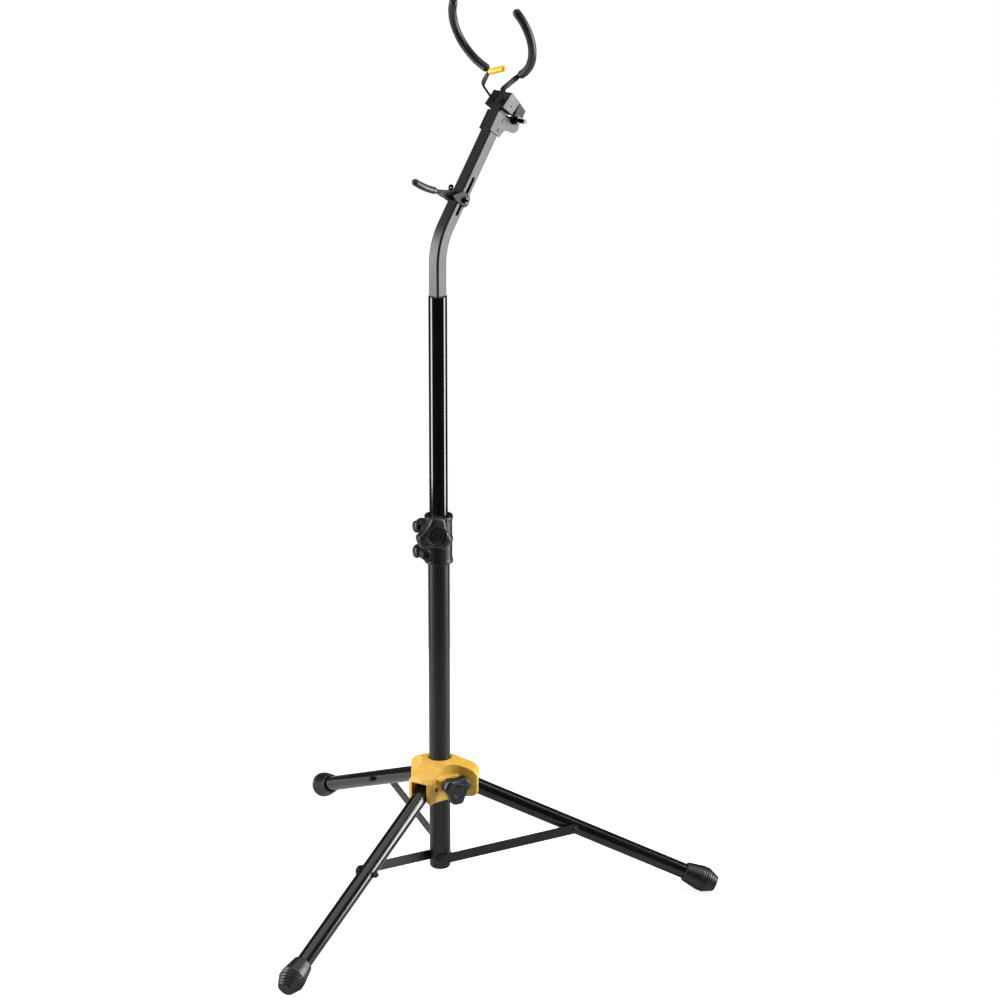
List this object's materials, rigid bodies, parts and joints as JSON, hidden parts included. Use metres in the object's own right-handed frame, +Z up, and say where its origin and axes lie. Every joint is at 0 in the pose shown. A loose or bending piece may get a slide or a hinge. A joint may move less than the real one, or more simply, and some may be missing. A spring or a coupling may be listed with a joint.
{
  "type": "saxophone stand",
  "caption": "Folding floor stand for a saxophone: a tripod on a sliding collar, telescopic mast, bent square neck with a padded hook, and a tilting yoke with sprung padded arms.",
  "frame": {"origin": "on the floor, on the mast's axis", "axes": "+Z up the mast; the neck leans back toward +Y, and the instrument hangs on the -Y side"},
  "size_m": [0.6807, 0.6623, 1.2612],
  "materials": {
    "lower_tube_paint": "satin charcoal",
    "upper_tube_paint": "gloss black",
    "neck_paint": "satin dark grey",
    "leg_paint": "gloss black",
    "strut_paint": "satin near-black",
    "bracket_paint": "satin dark grey",
    "arm_paint": "satin grey",
    "black_fastener": "blackened",
    "zinc_fastener": "zinc plated",
    "black_plastic": "fine moulded texture",
    "badge_plastic": "gloss black",
    "collar_plastic": "satin, yellow orange",
    "brass": "turned",
    "glide_plastic": "natural",
    "foam": "dark grey closed cell foam with a soft skin",
    "trigger_plastic": "bright yellow sleeve",
    "foot_rubber": "black"
  },
  "bodies": {
    "base": {"lower_tube": "lower_tube_paint", "base_plug": "black_plastic", "clutch_body": "black_plastic", "clutch_pegs": "black_plastic", "clutch_clamp_screw": "black_fastener", "clutch_nuts": "zinc_fastener", "strut_base_screws": "black_fastener", "strut_base_nuts": "zinc_fastener"},
    "clutch_knob": {"clutch_knob": "black_plastic", "clutch_stud": "zinc_fastener", "clutch_knob_badge": "badge_plastic"},
    "collar": {"collar": "collar_plastic", "leg_hinge_pins": "black_fastener", "collar_insert": "brass"},
    "collar_knob": {"collar_knob": "black_plastic", "collar_stud": "zinc_fastener", "collar_knob_badge": "badge_plastic"},
    "clutch_bush": {"clutch_bush": "black_plastic"},
    "mast": {"upper_tube": "upper_tube_paint", "tube_glide": "glide_plastic", "neck_insert": "black_plastic", "neck_tube": "neck_paint", "neck_plug": "black_plastic", "head_cap": "neck_paint", "cap_rivets": "black_fastener", "tilt_bolt": "black_fastener", "tilt_nut": "black_fastener"},
    "yoke": {"yoke_bracket": "bracket_paint", "yoke_block": "black_plastic", "yoke_rivets": "black_fastener", "arm_pins": "zinc_fastener"},
    "arm_left": {"arm_left": "arm_paint", "arm_foam_left": "foam", "trigger_rod": "arm_paint", "trigger_sleeve": "trigger_plastic"},
    "arm_right": {"arm_right": "arm_paint", "arm_foam_right": "foam"},
    "hook": {"hook_bracket": "bracket_paint", "hook_rod": "bracket_paint", "hook_foam": "foam", "hook_nut": "black_fastener"},
    "hook_screw": {"hook_wing_screw": "black_fastener"},
    "leg_front": {"leg_tube_front": "leg_paint", "leg_end_front": "black_plastic", "rubber_foot_front": "foot_rubber", "leg_bolt_front": "black_fastener"},
    "strut_front": {"strut_front": "strut_paint", "strut_screw_front": "black_fastener"},
    "leg_right": {"leg_tube_right": "leg_paint", "leg_end_right": "black_plastic", "rubber_foot_right": "foot_rubber", "leg_bolt_right": "black_fastener"},
    "strut_right": {"strut_right": "strut_paint", "strut_screw_right": "black_fastener"},
    "leg_rear": {"leg_tube_rear": "leg_paint", "leg_end_rear": "black_plastic", "rubber_foot_rear": "foot_rubber", "leg_bolt_rear": "black_fastener"},
    "strut_rear": {"strut_rear": "strut_paint", "strut_screw_rear": "black_fastener"}
  },
  "joints": [
    {"name": "collar_slide", "type": "slide", "parent": "base", "child": "collar", "axis": [0, 0, 1], "range_m": [0, 0.243]},
    {"name": "leg_front_fold", "type": "hinge", "parent": "collar", "child": "leg_front", "pos_m": [0.00707, -0.03326, 0.1686], "axis": [0.9781, 0.2079, 0], "range_deg": [0, 65.66]},
    {"name": "strut_front_fold", "type": "hinge", "parent": "base", "child": "strut_front", "pos_m": [0, 0, 0.05], "axis": [-0.9781, -0.2079, 0], "range_deg": [0, 64.78]},
    {"name": "leg_right_fold", "type": "hinge", "parent": "collar", "child": "leg_right", "pos_m": [0.02527, 0.02275, 0.1686], "axis": [-0.6691, 0.7431, 0], "range_deg": [0, 65.66]},
    {"name": "strut_right_fold", "type": "hinge", "parent": "base", "child": "strut_right", "pos_m": [0, 0, 0.05], "axis": [0.6691, -0.7431, 0], "range_deg": [0, 64.78]},
    {"name": "leg_rear_fold", "type": "hinge", "parent": "collar", "child": "leg_rear", "pos_m": [-0.03234, 0.01051, 0.1686], "axis": [-0.309, -0.9511, 0], "range_deg": [0, 65.66]},
    {"name": "strut_rear_fold", "type": "hinge", "parent": "base", "child": "strut_rear", "pos_m": [0, 0, 0.05], "axis": [0.309, 0.9511, 0], "range_deg": [0, 64.78]},
    {"name": "clutch_knob_turn", "type": "hinge", "parent": "base", "child": "clutch_knob", "pos_m": [-0.00749, -0.01854, 0.549], "axis": [0.9272, -0.3746, 0], "range_deg": [0, 360]},
    {"name": "collar_knob_turn", "type": "hinge", "parent": "collar", "child": "collar_knob", "pos_m": [0, 0, 0.173], "axis": [0.9511, -0.309, 0], "range_deg": [0, 360]},
    {"name": "mast_turn", "type": "hinge", "parent": "base", "child": "clutch_bush", "pos_m": [0, 0, 0.55], "axis": [0, 0, 1], "continuous": true},
    {"name": "mast_height", "type": "slide", "parent": "clutch_bush", "child": "mast", "axis": [0, 0, 1], "range_m": [-0.285, 0]},
    {"name": "head_tilt", "type": "hinge", "parent": "mast", "child": "yoke", "pos_m": [0, 0.14099, 1.09822], "axis": [-1, 0, 0], "range_deg": [0, 100]},
    {"name": "arm_left_close", "type": "hinge", "parent": "yoke", "child": "arm_left", "pos_m": [-0.0052, 0.11882, 1.12225], "axis": [0.4707, 0.6913, 0.5482], "range_deg": [0, 10], "stiffness_Nm_per_rad": 0.5},
    {"name": "arm_right_close", "type": "hinge", "parent": "yoke", "child": "arm_right", "pos_m": [0.0052, 0.11882, 1.12225], "axis": [0.4707, -0.6913, -0.5482], "range_deg": [0, 10], "stiffness_Nm_per_rad": 0.5},
    {"name": "hook_slide", "type": "slide", "parent": "mast", "child": "hook", "axis": [0, 0.5976, 0.8018], "range_m": [-0.021, 0.0315]},
    {"name": "hook_screw_turn", "type": "hinge", "parent": "hook", "child": "hook_screw", "pos_m": [0, 0.04155, 1.00397], "axis": [1, 0, 0], "range_deg": [0, 360]}
  ],
  "couplings": [
    {"joint": "leg_front_fold", "follows": "collar_slide", "rad_per_m": 4.7159},
    {"joint": "strut_front_fold", "follows": "collar_slide", "rad_per_m": 4.6525},
    {"joint": "leg_right_fold", "follows": "collar_slide", "rad_per_m": 4.7159},
    {"joint": "strut_right_fold", "follows": "collar_slide", "rad_per_m": 4.6525},
    {"joint": "leg_rear_fold", "follows": "collar_slide", "rad_per_m": 4.7159},
    {"joint": "strut_rear_fold", "follows": "collar_slide", "rad_per_m": 4.6525},
    {"joint": "arm_right_close", "follows": "arm_left_close", "ratio": 1}
  ]
}
